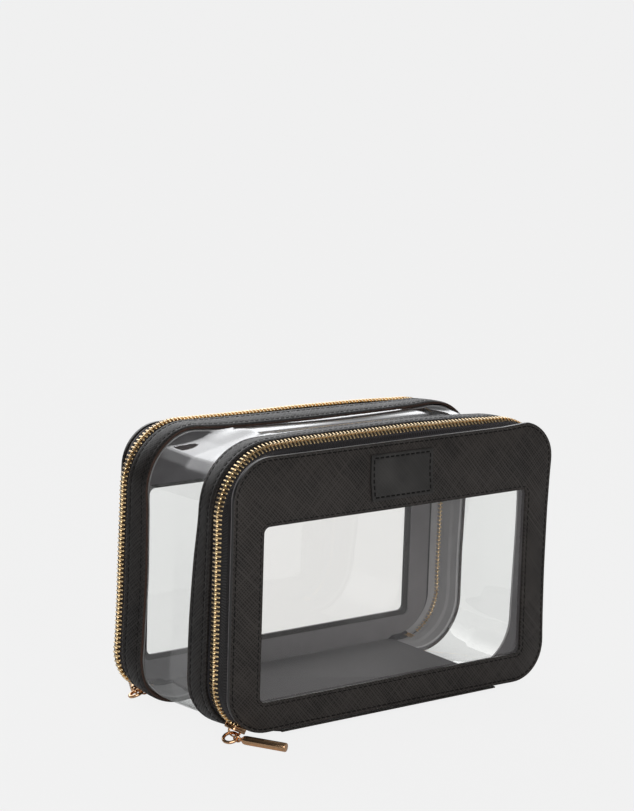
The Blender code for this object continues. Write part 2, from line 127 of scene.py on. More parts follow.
# How far the sewn bag stands out (+) or sags in (-) from the plain outline, in mm:
# each row is a distance from its middle, front first, with pairs of place and height.
REAR_ZIP_LEFT = (
    (0, 0), (1.0, 0.6), (1.25, 1.4), (1.4, 2.6), (1.6, 4.8), (1.75, 5.0), (1.9, 4.4),
    (2.05, 3.5), (2.3, 2.8), (2.6, 2.4), (2.85, 1.9), (3.05, 1.5), (3.15, 1.3), (3.3, 0.7),
)
REAR_ZIP_RIGHT = (
    (4.25, -1.8), (4.35, -2.3), (4.5, -3.3), (4.65, -3.5), (4.8, -1.2), (4.95, 0.8),
    (5.1, 0.4), (5.7, 0),
)
SAG = {
    -47.2: ((0, 0), (2.0, 0), (2.3, -0.4), (3.0, -0.4), (3.3, -1.0), (3.45, -1.4), (3.6, -0.8),
            (4.1, -0.6), (4.25, -1.0), (4.5, -1.4), (4.75, -0.8), (5.0, -0.9), (5.2, -1.7),
            (5.4, -2.3), (5.8, -2.4), (6.0, -1.7), (6.3, -0.4), (6.6, 0)),
    -41.0: ((0, 0), (2.0, 0), (2.3, 0.2), (3.0, 0.4), (3.3, 0.8), (3.45, 1.6), (3.6, 2.6),
            (4.1, 2.7), (4.22, 2.1), (4.35, 1.7), (4.5, 0.5), (4.7, -0.7), (5.0, -0.9),
            (5.4, -2.0), (5.8, -2.2), (6.0, -1.7), (6.3, -0.4), (6.6, 0)),
    -38.6: ((0, 0), (1.0, -0.6), (1.3, -0.4), (1.6, 0.8), (2.0, 1.0), (2.4, 0.5), (3.0, -0.4),
            (3.3, 0.0), (3.45, 0.8), (3.6, 2.0), (4.1, 2.0), (4.22, 1.4), (4.35, 0.6),
            (4.5, -1.0), (4.7, -2.6), (5.0, -1.4), (5.7, 0)),
    -23.6: ((0, 0), (1.0, 0.3), (1.2, 0.6), (1.4, 1.6), (1.6, 2.4), (1.8, 2.5), (2.05, 2.0),
            (2.2, 2.1), (2.36, 1.7), (2.54, 0.8), (2.72, -0.3), (2.9, -2.1), (3.02, -3.0),
            (3.2, -1.8), (3.3, -1.2), (3.5, -0.2), (3.75, 0.3), (4.0, 0.6), (4.25, 0.1),
            (4.4, -1.2), (4.5, -2.2), (4.62, -3.1), (4.75, -4.0), (4.9, -2.4), (5.05, -0.6),
            (5.2, 0.4), (5.45, 0.0), (5.7, -1.0), (6.0, -1.7), (6.4, -1.0), (7.0, 0)),
    0.0: ((0, 0), (0.7, 0.6), (1.0, 1.4), (1.2, 2.4), (1.4, 2.4), (1.6, 1.4), (1.9, -0.6),
          (2.3, -2.4), (3.0, -3.0), (3.3, -2.2), (3.5, -2.2), (4.0, -2.8), (4.5, -2.8),
          (5.0, -3.0), (5.7, -3.4), (6.4, -2.0), (7.0, -0.4), (8, 0)),
    23.6: ((0, 0), (0.7, 0.8), (1.0, 1.6), (1.2, 2.8), (1.4, 3.8), (1.6, 3.6), (1.8, 1.6),
           (2.0, 0.3), (2.14, -0.3), (2.33, -1.1), (2.5, -1.6), (2.9, -1.3), (3.05, -0.6),
           (3.25, -0.3), (3.4, -0.7), (3.5, -2.4), (3.6, -3.7), (3.75, -4.4), (4.0, -5.0),
           (4.25, -4.8), (4.5, -4.2), (4.62, -1.8), (4.75, 0.8), (4.9, 1.6), (5.1, 0.2),
           (5.7, -1.4), (6.4, -1.0), (7.0, 0)),
    38.6: ((0, 0), (0.7, 0.8), (1.0, 1.6), (1.25, 2.0), (1.4, 2.8), (1.6, 4.2), (1.9, 3.4),
           (2.3, 2.2), (2.85, 1.3), (3.05, 1.0), (3.2, 0.6), (3.35, -0.4), (3.5, -1.7),
           (3.75, -2.4), (4.0, -2.7), (4.2, -3.4), (4.35, -4.0), (4.5, -4.0), (4.65, -3.6),
           (4.8, -0.8), (4.95, 1.5), (5.1, 0.4), (5.7, 0)),
    41.0: (*REAR_ZIP_LEFT, (3.5, -0.7), (3.7, -1.2), (3.9, -1.4), (4.0, -1.2), (4.12, -1.6),
           *REAR_ZIP_RIGHT),
    47.2: (*REAR_ZIP_LEFT, (3.5, -0.6), (3.7, -1.0), (3.9, -1.1), (4.0, -1.0), (4.12, -1.5),
           *REAR_ZIP_RIGHT),
}
SAG_ROWS = np.array(sorted(SAG))
BLUR = np.hanning(81)             # evens each row out over 0.2 of place
SAG_GRID = []
for across in SAG_ROWS:
    run = np.interp(PLACES, *zip(*SAG[across]))
    looped = np.concatenate((run[-41:-1], run, run[1:41]))
    SAG_GRID.append(np.convolve(looped, BLUR / BLUR.sum(), "valid"))
SAG_GRID = np.array(SAG_GRID)


def sag(place, across):
    """The sag at places round the bag and distances from its middle."""
    column = np.mod(place, 8.0) / 8.0 * (len(PLACES) - 1)
    left = np.clip(column.astype(int), 0, len(PLACES) - 2)
    part = column - left
    rows = SAG_GRID[:, left] * (1 - part) + SAG_GRID[:, left + 1] * part
    y = np.clip(across, SAG_ROWS[0], SAG_ROWS[-1])
    row = np.clip(np.searchsorted(SAG_ROWS, y) - 1, 0, len(SAG_ROWS) - 2)
    share = (y - SAG_ROWS[row]) / (SAG_ROWS[row + 1] - SAG_ROWS[row])
    index = np.arange(len(y))
    return rows[row, index] * (1 - share) + rows[row + 1, index] * share


def skin(along, across):
    """The bag's outer surface. It runs over the zips and bends in behind each panel."""
    place = place_at(along)
    x, z, out_x, out_z = track(place)
    drop = sag(place, across)
    x = x + out_x * drop
    z = z + out_z * drop
    beyond = np.clip((np.abs(across) - ZIP_EDGE) / (PANEL_BACK - ZIP_EDGE), 0.0, 1.0)
    edge_x, edge_z, _, _ = panel_edge(place, TUCK)
    # the front's right side is drawn in a little further
    pulled = np.interp(np.mod(place, 8.0), (4.9, 5.3, 5.85, 6.2), (0.0, 1.2, 1.2, 0.0))
    edge_x = edge_x - pulled * (across < 0)
    return np.stack((
        x * (1 - beyond) + edge_x * beyond, across, z * (1 - beyond) + edge_z * beyond,
    ), axis=1)


def points_of(shape):
    """Where a shape's points are, one to a row."""
    return np.array([vert.co for vert in shape.verts], float)


def move_points(shape, places):
    """Put a shape's points at new places."""
    for vert, place in zip(shape.verts, places):
        vert.co = place


def stretch(shape, by):
    """Scale a whole shape about the origin."""
    bmesh.ops.scale(shape, verts=shape.verts[:], vec=by)


def shift(shape, by):
    """Move a whole shape."""
    bmesh.ops.translate(shape, verts=shape.verts[:], vec=by)


def stand_up(shape):
    """Turn a level shape upright about X."""
    bmesh.ops.rotate(
        shape, verts=shape.verts[:], cent=(0, 0, 0), matrix=Matrix.Rotation(math.pi / 2, 3, "X")
    )


def new_points(grown):
    """The points among what an operator has added."""
    return [item for item in grown["geom"] if isinstance(item, bmesh.types.BMVert)]


def bend_round(shape):
    """Bend a piece that lies flat round the bag: X runs along the strip, Y across the
    bag, and Z stands out from its surface."""
    along, across, out = points_of(shape).T
    step = 0.4
    middle = skin(along, across)
    ahead = skin(along + step, across) - skin(along - step, across)
    aside = skin(along, across + step) - skin(along, across - step)
    normal = np.cross(ahead, aside)
    normal /= np.linalg.norm(normal, axis=1)[:, None]
    if normal[0] @ (middle[0] - np.array([0.0, middle[0][1], HALF_HEIGHT])) < 0:
        normal = -normal
    move_points(shape, middle + normal * out[:, None])


def grid_sheet(first, last, near, far, columns, rows, height=0.0):
    """A level sheet, cut into a grid of faces."""
    shape = bmesh.new()
    bmesh.ops.create_grid(shape, x_segments=columns, y_segments=rows, size=0.5)
    stretch(shape, (last - first, far - near, 1.0))
    shift(shape, ((first + last) / 2, (near + far) / 2, height))
    return shape


def flat_strip(near, far, low, high, first=0.0, last=ROUND, step=2.4, rows=6):
    """A flat strip of sheet, cut in small pieces so that it bends smoothly."""
    near, far = sorted((near, far))
    count = max(2, round((last - first) / step))
    shape = grid_sheet(first, last, near, far, count, rows, high)
    grown = bmesh.ops.extrude_face_region(shape, geom=shape.faces[:], use_keep_orig=True)
    bmesh.ops.translate(shape, verts=new_points(grown), vec=(0.0, 0.0, low - high))
    return shape


def mark_flat(shape, up=1):
    """Keep each point's place on the flat sheet, so that a grain follows the piece.
    The sheet lies level, or stands upright where up is 2."""
    sheet = shape.loops.layers.uv.new("flat")
    for face in shape.faces:
        for loop in face.loops:
            loop[sheet].uv = (loop.vert.co.x, loop.vert.co[up])


def new_object(name, data):
    """A new object in the scene."""
    made = bpy.data.objects.new(name, data)
    bpy.context.collection.objects.link(made)
    return made


def new_mesh(name, shape, finish):
    """An object with a shape and a finish."""
    mesh = bpy.data.meshes.new(name)
    shape.to_mesh(mesh)
    shape.free()
    mesh.materials.append(finish)
    return new_object(name, mesh)


def finish_piece(shape, name, body, slot, finish, *stands_for):
    """Turn a shape in millimetres into an object that rides on a body."""
    bmesh.ops.remove_doubles(shape, verts=shape.verts[:], dist=0.0005)
    bmesh.ops.recalc_face_normals(shape, faces=shape.faces[:])
    stretch(shape, (MM, MM, MM))
    for face in shape.faces:
        face.smooth = True
    piece = new_mesh(name, shape, finish)
    piece.data.set_sharp_from_angle(angle=math.radians(38))
    if body:
        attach(piece, body)
    if stands_for:
        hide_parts(*stands_for)
    return piece


def new_finish(name):
    """A node material and its empty tree."""
    made = bpy.data.materials.new(name)
    made.use_nodes = True
    made.node_tree.nodes.clear()
    return made, made.node_tree


def put(tree, kind, *ordered, **named):
    """Add a node. Its inputs, in order or by name, are values or other nodes' outputs."""
    node = tree.nodes.new(f"ShaderNode{kind}")
    given = list(zip(node.inputs, ordered))
    given += [(node.inputs[word.replace("_", " ")], value) for word, value in named.items()]
    for socket, value in given:
        if isinstance(value, bpy.types.NodeSocket):
            tree.links.new(value, socket)
        else:
            socket.default_value = value
    return node


def reckon(tree, operation, *inputs):
    """The result of a sum on numbers and other nodes' outputs."""
    node = put(tree, "Math", *inputs)
    node.operation = operation
    return node.outputs["Value"]


def clouding(tree, scale, detail):
    """Uneven grey, fixed to the piece."""
    where = put(tree, "TexCoord")
    noise = put(tree, "TexNoise", Vector=where.outputs["Object"], Scale=scale, Detail=detail)
    return noise.outputs["Fac"]


def bumps(tree, height, strength, distance):
    """A normal that follows a height."""
    bump = put(tree, "Bump", Strength=strength, Distance=distance, Height=height)
    return bump.outputs["Normal"]


def clear_vinyl(name, tint, ripple):
    """Clear vinyl sheet: see-through, with reflections that grow at low angles."""
    made, tree = new_finish(name)
    clear = put(tree, "BsdfTransparent", Color=(*tint, 1.0))
    shine = put(
        tree, "BsdfGlossy", Color=(0.98, 0.985, 0.985, 1.0), Roughness=0.04,
        Normal=bumps(tree, clouding(tree, 14.0, 2.0), ripple, 0.002),
    )
    # only the near side of each wall reflects, and it reflects for both: 2R / (1 + R)
    fresnel = put(tree, "Fresnel", IOR=1.5).outputs["Fac"]
    twice = reckon(tree, "MULTIPLY", fresnel, 2.0)
    film = reckon(tree, "DIVIDE", twice, reckon(tree, "ADD", fresnel, 1.0))
    side = put(tree, "NewGeometry")
    front = reckon(tree, "SUBTRACT", 1.0, side.outputs["Backfacing"])
    mix = put(
        tree, "MixShader", reckon(tree, "MULTIPLY", film, front), clear.outputs["BSDF"],
        shine.outputs["BSDF"],
    )
    put(tree, "OutputMaterial", Surface=mix.outputs["Shader"])
    return made


FOLDED = (                        # the flat stretches, each from place to place
    (3.05, 3.19), (3.19, 3.263), (3.263, 3.62), (4.38, 4.74), (4.74, 4.82), (4.82, 5.0),
)
FOLD_REACH = 24.0                 # from the middle of the bag to where the folds end


def fold(points, along, across):
    """Lay the clear sheet flat between the lines where it folds at the corners."""
    place = place_at(along)
    share = 1 - np.clip(np.abs(across) / FOLD_REACH, 0.0, 1.0) ** 6
    moved = points.copy()
    for first, last in FOLDED:
        inside = (place >= first) & (place < last)
        near, far = distance_to(first), distance_to(last)
        y = across[inside]
        part = ((np.mod(along[inside], ROUND) - near) / (far - near))[:, None]
        flat = skin(np.full(y.shape, near), y) * (1 - part) + skin(np.full(y.shape, far), y) * part
        curved = skin(along[inside], y)
        moved[inside] += (flat - curved) * share[inside][:, None]
    return moved


BAND_HALF = 37.6
BAND_SEAM = 23.6                  # from its middle to where the strips hold it
BAND_HIGH, BAND_LOW = -1.2, -1.8
VINYL = clear_vinyl("clear_vinyl_band", (0.972, 0.981, 0.978), 0.12)
band = flat_strip(-BAND_HALF, BAND_HALF, BAND_LOW, BAND_HIGH, step=1.2, rows=48)
mark_flat(band)
along, across, _ = points_of(band).T
# over the top the sheet springs up from its seams and ripples
on_top = np.clip((0.55 - np.abs(place_at(along) - 4.0)) / 0.15, 0.0, 1.0)
from_seam = BAND_SEAM - np.abs(across)
rise = 0.9 * on_top * np.clip(from_seam / 1.6, 0.0, 1.0)
rise += 0.42 * on_top * np.sin(across / 4.0 + 0.8 * np.sin(along / 26.0)) * (
    np.clip(from_seam / 5.0, 0.0, 1.0)
)
for vert, lift in zip(band.verts, rise):
    vert.co.z += lift
bend_round(band)
move_points(band, fold(points_of(band), along, across))
finish_piece(band, "gusset_band", "case", "clear_pvc", VINYL, "clear_gusset")


# ---- Gusset strips -------------------------------------------
# Two strips of cross-grained leather, 15 mm wide, join the clear band to the zips.
# Each is folded over lining, sewn with two rows of black thread, and cut raw inside.

STRIP_NEAR, STRIP_FAR = 23.8, 38.6
STRIP_HIGH, STRIP_LOW = 0.9, -0.9
LEATHER_COLOUR = (0.0135, 0.0113, 0.0099)


def shade(colour, share):
    """A colour made darker or lighter."""
    return [min(1.0, part * share) for part in colour]


def two_tones(tree, value, *stops):
    """A blend of two colours, each given with the value at which it stands."""
    ramp = put(tree, "ValToRGB", Fac=value)
    for stop, (place, colour) in zip(ramp.color_ramp.elements, stops):
        stop.position = place
        stop.color = (*colour, 1.0)
    return ramp.outputs["Color"]


def between(tree, value, first, last):
    """A value from 0 to 1, carried over to another range."""
    moved = put(tree, "MapRange", Value=value, To_Min=first, To_Max=last)
    return moved.outputs["Result"]


def place_on_sheet(tree):
    """Where a point lies on its flat sheet, in mm."""
    sheet = put(tree, "UVMap")
    sheet.uv_map = "flat"
    return sheet.outputs["UV"]


def surface(made, **inputs):
    """Give a finish its shader."""
    shader = put(made.node_tree, "BsdfPrincipled", **inputs)
    put(made.node_tree, "OutputMaterial", Surface=shader.outputs["BSDF"])
    return made


def grain_leather(name, colour, roughness=0.46, strength=1.0, depth=0.5):
    """Pressed leather with two crossing sets of fine slanting lines."""
    made, tree = new_finish(name)
    flat = place_on_sheet(tree)
    sets = []
    for slant, weight in ((47.0, 0.8), (-43.0, 1.0)):
        turn = put(tree, "Mapping", Vector=flat, Rotation=(0.0, 0.0, math.radians(slant)))
        long = put(tree, "Mapping", Vector=turn.outputs["Vector"], Scale=(1.0, 0.06, 1.0))
        rib = put(
            tree, "TexWave", Vector=long.outputs["Vector"], Scale=0.22, Distortion=4.5,
            Detail=1.0, Detail_Scale=3.0,
        )
        line = put(
            tree, "MapRange", Value=rib.outputs["Fac"], From_Min=0.4, From_Max=1.0,
            To_Max=weight,
        )
        line.interpolation_type = "SMOOTHSTEP"
        sets.append(line.outputs["Result"])
    height = reckon(tree, "MAXIMUM", *sets)
    cloudy = put(tree, "TexNoise", Vector=flat, Scale=0.05, Detail=1.0)
    tone = reckon(tree, "MULTIPLY_ADD", height, 0.55 * strength, cloudy.outputs["Fac"])
    return surface(
        made,
        Base_Color=two_tones(tree, tone, (0.35, shade(colour, 0.6)), (1.0, shade(colour, 2.1))),
        Specular_IOR_Level=between(tree, height, 0.26, 0.26 + 0.18 * strength),
        Roughness=between(tree, height, roughness + 0.06, roughness - 0.06),
        Normal=bumps(tree, height, depth, 0.00008),
    )


def soft_finish(name, colour, roughness, scale, spread, depth, sheen=0.0, gloss=0.5):
    """A plain cloth, thread or cut edge with fine uneven grain."""
    made, tree = new_finish(name)
    grain = clouding(tree, scale, 4.0)
    tones = (0.3, shade(colour, 1 - spread)), (0.7, shade(colour, 1 + spread))
    return surface(
        made, Roughness=roughness, Specular_IOR_Level=gloss, Sheen_Weight=sheen,
        Sheen_Roughness=0.5, Base_Color=two_tones(tree, grain, *tones),
        Normal=bumps(tree, grain, depth, 0.0002),
    )


def lining_finish(name, colour, roughness=0.78, spread=0.06, depth=0.02):
    """Thin woven lining with a faint sheen."""
    return soft_finish(name, colour, roughness, 90.0, spread, depth, 0.1, 0.3)


LEATHER = grain_leather("grain_leather_black", LEATHER_COLOUR)
STRIP_LEATHER = grain_leather("grain_leather_strips", (0.0078, 0.0066, 0.0059))
EDGE_PAINT = soft_finish("edge_paint_black", (0.017, 0.016, 0.0155), 0.28, 900.0, 0.12, 0.05)
RAW_EDGE = soft_finish("raw_edge_brown", (0.030, 0.0125, 0.0065), 0.75, 600.0, 0.45, 0.4)
# black thread, made darker than the black leather as painted shade of the stitch holes
THREAD_WITH_HOLE_SHADE = soft_finish("thread_black_hole_shade", (0.0050, 0.0046, 0.0042), 0.7, 3000.0, 0.2, 0.2, 0.0, 0.15)
LINING = lining_finish("lining_grey", (0.061, 0.054, 0.058), spread=0.10, depth=0.03)
FLAP_LINING = lining_finish("lining_flap_grey", (0.175, 0.165, 0.172), spread=0.10, depth=0.03)
# a paler copy of the same lining: painted light on the rear strip's inner side and tape cover
LINING_PAINTED_LIGHT = lining_finish("lining_grey_painted_light", (0.330, 0.322, 0.328))
# the turned fold is far paler than the lining itself: a painted highlight along the fold
FOLD_LINING_PAINTED_HIGHLIGHT = lining_finish("lining_fold_painted_highlight", (0.55, 0.54, 0.55), roughness=0.7)
# the front's strip lining and tape cover take the darker flap lining as painted shade, the rear's
# take the paler copy as painted light
SIDES = (("front", -1, FLAP_LINING), ("rear", 1, LINING_PAINTED_LIGHT))

STITCH_PITCH = 3.5
STITCH_LENGTH, STITCH_WIDTH, STITCH_HEIGHT = 2.35, 0.62, 0.5


def clamp(value):
    """A value, held between 0 and 1."""
    return min(1.0, max(0.0, value))


def block(size):
    """A box about the origin."""
    shape = bmesh.new()
    bmesh.ops.create_cube(shape, size=1.0)
    stretch(shape, size)
    return shape


def round_edges(shape, edges, offset, segments):
    """Round some edges of a shape."""
    bmesh.ops.bevel(
        shape, geom=edges, offset=offset, segments=segments, profile=0.5,
        affect="EDGES", material=-1,
    )


def sharp_edges(shape, angle):
    """The edges where a shape turns by more than an angle."""
    return [edge for edge in shape.edges if edge.calc_face_angle(0.0) > angle]


def edges_along(shape, axis, shortest):
    """The edges that run along an axis for at least a length."""
    return [
        edge for edge in shape.edges
        if abs(edge.verts[0].co[axis] - edge.verts[1].co[axis]) > shortest
    ]


def spin(shape, axis, angle, steps, **more):
    """Carry a whole shape on, or about an axis through the origin."""
    everything = shape.verts[:] + shape.edges[:] + shape.faces[:]
    bmesh.ops.spin(
        shape, geom=everything, cent=(0, 0, 0), axis=axis, angle=angle, steps=steps, **more
    )


def stitch(width=STITCH_WIDTH):
    """One rounded stitch, lying along X."""
    shape = block((STITCH_LENGTH, width, STITCH_HEIGHT))
    round_edges(shape, shape.edges[:], 0.17, 1)
    ends = [vert for vert in shape.verts if abs(vert.co.x) > STITCH_LENGTH / 2 - 0.05]
    bmesh.ops.translate(shape, verts=ends, vec=(0.0, 0.0, -0.14))
    return shape


def repeat(shape, pitch, count):
    """Copies of a shape in a row along X."""
    spin(shape, (0, 0, 1), 0.0, count - 1, dvec=(pitch, 0, 0), use_duplicate=True)
    return shape


def stitch_row(across, height):
    """A row of stitches along the whole of a flat strip."""
    count = int(ROUND / STITCH_PITCH)
    row = repeat(stitch(0.45), ROUND / count, count)
    shift(row, (0.0, across, height))
    return row


def wrap(shape):
    """Bend a flat piece round the bag, with its grain."""
    mark_flat(shape)
    bend_round(shape)


def join_shapes(shapes):
    """Put several shapes into one."""
    whole = bmesh.new()
    for shape in shapes:
        spare = bpy.data.meshes.new("spare")
        shape.to_mesh(spare)
        shape.free()
        whole.from_mesh(spare)
        bpy.data.meshes.remove(spare)
    return whole


STRIP_STITCHES = (26.6, 35.4)
LINING_FIRST = 80.0               # from the middle of the bottom, where the base ends
for word, side, lit_or_shaded_lining in SIDES:
    strip = flat_strip(side * STRIP_NEAR, side * STRIP_FAR, STRIP_LOW, STRIP_HIGH, rows=14)
    for vert in strip.verts:
        level = abs(vert.co.y)
        edge = min(level - STRIP_NEAR, STRIP_FAR - level)
        if vert.co.z > 0:
            vert.co.z -= 0.55 * max(0.0, 1 - edge / 1.1) ** 2
            vert.co.z += 0.35 * math.sin(math.pi * edge / (STRIP_FAR - STRIP_NEAR)) - 0.2
            for row in STRIP_STITCHES:
                vert.co.z -= 0.3 * max(0.0, 1 - abs(level - row) / 1.2)
    wrap(strip)
    finish_piece(strip, f"{word}_strip", "case", "leather", STRIP_LEATHER, f"{word}_gusset_strip")
    raw = flat_strip(
        side * (STRIP_NEAR - 0.45), side * (STRIP_NEAR - 0.05), STRIP_LOW - 0.2,
        STRIP_HIGH - 0.75, rows=2,
    )
    wrap(raw)
    finish_piece(raw, f"{word}_raw_edge", "case", "raw_edge", RAW_EDGE, f"{word}_strip_edge")
    inside = flat_strip(
        side * (STRIP_NEAR - 0.3), side * (ZIP_MIDDLE - 0.8), -2.25, -1.95,
        LINING_FIRST, ROUND - LINING_FIRST, rows=20,
    )
    for vert in inside.verts:
        vert.co.z -= 0.75 * clamp(abs(vert.co.y) - 32.0)
        vert.co.z += 0.5 * clamp(abs(vert.co.y) - 39.5)
    wrap(inside)
    # painted shade on the front's lining, painted light on the rear's
    finish_piece(inside, f"{word}_strip_lining", "case", "lining", lit_or_shaded_lining)
    turned = flat_strip(
        side * (STRIP_NEAR + 0.2), side * (STRIP_NEAR + 1.2), -2.7, -2.35,
        LINING_FIRST, ROUND - LINING_FIRST, rows=2,
    )
    bend_round(turned)
    # pale lining along the fold, a painted highlight
    finish_piece(turned, f"{word}_lining_fold", "case", "lining", FOLD_LINING_PAINTED_HIGHLIGHT)
    seam = join_shapes([stitch_row(side * row, STRIP_HIGH - 0.22) for row in STRIP_STITCHES])
    bend_round(seam)
    finish_piece(seam, f"{word}_strip_seams", "case", "leather", THREAD_WITH_HOLE_SHADE)


# ---- Zips ----------------------------------------------------
# A size 5 metal zip runs nearly all the way round each side of the bag.
# Its black herringbone tape is sewn under the strip and in behind the panel, and short
# tapes close the lower corners, where they bend up towards the hinge.

CHAIN_PITCH = 2.44
TAPE_HIGH, TAPE_LOW = -1.0, -1.6
TOOTH_HIGH, TOOTH_LOW = 0.0, -2.6
CASE_TAPE_END = 33.8
HERRINGBONE_WIDTH, RIB_PITCH = 1.6, 1.45
WAVE_PITCH = 0.314                # of a wave texture at scale 1
# in degrees up the lower corners
ZIP_FIRST_TURN, ZIP_LAST_TURN, FLAP_FIRST_TURN = 16.0, 20.0, 41.2


def corner_length(turn):
    """The distance round the track to a turn in degrees up the bottom left corner."""
    return distance_to(1.0 + turn / 90.0)


ZIP_FIRST = corner_length(ZIP_FIRST_TURN)
ZIP_LAST = ROUND - corner_length(ZIP_LAST_TURN)
FLAP_FIRST = corner_length(FLAP_FIRST_TURN)


def tape_finish():
    """Black tape woven in a herringbone, with a faint violet sheen."""
    made, tree = new_finish("zip_tape_black")
    parts = put(tree, "SeparateXYZ", Vector=place_on_sheet(tree))
    zigzag = reckon(tree, "PINGPONG", parts.outputs["Y"], HERRINGBONE_WIDTH)
    slanted = reckon(tree, "ADD", parts.outputs["X"], zigzag)
    joined = put(tree, "CombineXYZ", X=slanted)
    rib = put(tree, "TexWave", Vector=joined.outputs["Vector"], Scale=WAVE_PITCH / RIB_PITCH)
    rib = rib.outputs["Fac"]
    tones = (0.25, (0.0020, 0.0017, 0.0017)), (0.8, (0.0110, 0.0095, 0.0095))
    return surface(
        made, Roughness=0.62, Specular_IOR_Level=0.4, Sheen_Weight=0.12,
        Sheen_Roughness=0.45, Sheen_Tint=(0.75, 0.68, 0.80, 1.0),
        Base_Color=two_tones(tree, rib, *tones), Normal=bumps(tree, rib, 0.9, 0.0003),
    )


def metal_finish(name, colour, roughness, scale=500.0, lacquer=0.0):
    """Plated metal with slight clouding."""
    made, tree = new_finish(name)
    cloud = clouding(tree, scale, 3.0)
    tones = (0.25, shade(colour, 0.88)), (0.75, shade(colour, 1.06))
    return surface(
        made, Metallic=1.0, Coat_Weight=lacquer, Coat_Roughness=0.22,
        Base_Color=two_tones(tree, cloud, *tones),
        Roughness=between(tree, cloud, roughness * 0.8, roughness * 1.3),
    )


TAPE = tape_finish()
TOOTH_METAL = metal_finish("pale_gold_plate", (0.94, 0.69, 0.36), 0.27, lacquer=1.0)
SLIDER_METAL = metal_finish("rose_gold_plate", (0.80, 0.50, 0.29), 0.13, 260.0)


def tooth():
    """One tooth: a thin leg with a rounded root, and a broad head past the zip's middle."""
    shape = block((0.86, 2.3, TOOTH_HIGH - TOOTH_LOW))
    shift(shape, (0.0, 2.05, (TOOTH_HIGH + TOOTH_LOW) / 2 - 0.12))
    root = [edge for edge in edges_along(shape, 2, 1) if edge.verts[0].co.y > 2.5]
    round_edges(shape, root, 0.32, 2)
    for vert in shape.verts:
        if vert.co.y > 2.5:
            vert.co.x *= 1.15
            vert.co.z += 0.5 if vert.co.z < -1.0 else -0.4
    tip = min(shape.faces, key=lambda face: face.calc_center_median().y)
    for reach, width, depth in ((0.25, 1.15, 1.08), (0.95, 1.0, 1.0), (0.4, 0.6, 0.75)):
        grown = bmesh.ops.extrude_discrete_faces(shape, faces=[tip])
        tip = grown["faces"][0]
        middle = tip.calc_center_median()
        bmesh.ops.scale(
            shape, verts=tip.verts[:], vec=(width, 1.0, depth),
            space=Matrix.Translation(-middle),
        )
        bmesh.ops.translate(shape, verts=tip.verts[:], vec=(0.0, -reach, 0.0))
    round_edges(shape, sharp_edges(shape, 0.9), 0.14, 1)
    return shape


def tooth_row(first, offset, side, facing):
    """One half of the chain. Facing is +1 where its roots lie away from the bag's middle."""
    count = int((ZIP_LAST - first - CHAIN_PITCH) / CHAIN_PITCH)
    row = repeat(tooth(), CHAIN_PITCH, count)
    stretch(row, (1.0, side * facing, 1.0))
    shift(row, (first + CHAIN_PITCH * 0.6 + offset, side * ZIP_MIDDLE, 0.0))
    bend_round(row)
    return row


LEAD = (FLAP_FIRST - ZIP_FIRST) % CHAIN_PITCH   # taken off, so that the two rows alternate
for word, side, lit_or_shaded_lining in SIDES:
    flap = f"{word}_flap"
    case_tape = flat_strip(
        side * CASE_TAPE_END, side * (ZIP_MIDDLE - 0.35), TAPE_LOW - 0.5, TAPE_HIGH - 0.5,
        rows=5,
    )
    wrap(case_tape)
    finish_piece(case_tape, f"{word}_tape_inner", "case", "tape", TAPE, f"{word}_case_tape")
    flap_tape = flat_strip(
        side * (ZIP_MIDDLE + 0.35), side * PANEL_BACK, TAPE_LOW, TAPE_HIGH,
        FLAP_FIRST, ZIP_LAST, rows=6,
    )
    wrap(flap_tape)
    finish_piece(flap_tape, f"{word}_tape_outer", flap, "tape", TAPE, f"{word}_flap_tape")
    cover = flat_strip(
        side * (ZIP_MIDDLE + 0.8), side * 50.4, TAPE_LOW - 0.7, TAPE_LOW - 0.3,
        FLAP_FIRST, ZIP_LAST, rows=6,
    )
    bend_round(cover)
    # painted shade on the front's tape cover, painted light on the rear's
    finish_piece(cover, f"{word}_tape_lining", flap, "lining", lit_or_shaded_lining)
    finish_piece(
        tooth_row(ZIP_FIRST, 0.0, side, -1), f"{word}_teeth_inner", "case", "tooth_metal",
        TOOTH_METAL, f"{word}_case_teeth",
    )
    finish_piece(
        tooth_row(FLAP_FIRST, CHAIN_PITCH / 2 - LEAD, side, 1), f"{word}_teeth_outer", flap,
        "tooth_metal", TOOTH_METAL, f"{word}_flap_teeth",
    )


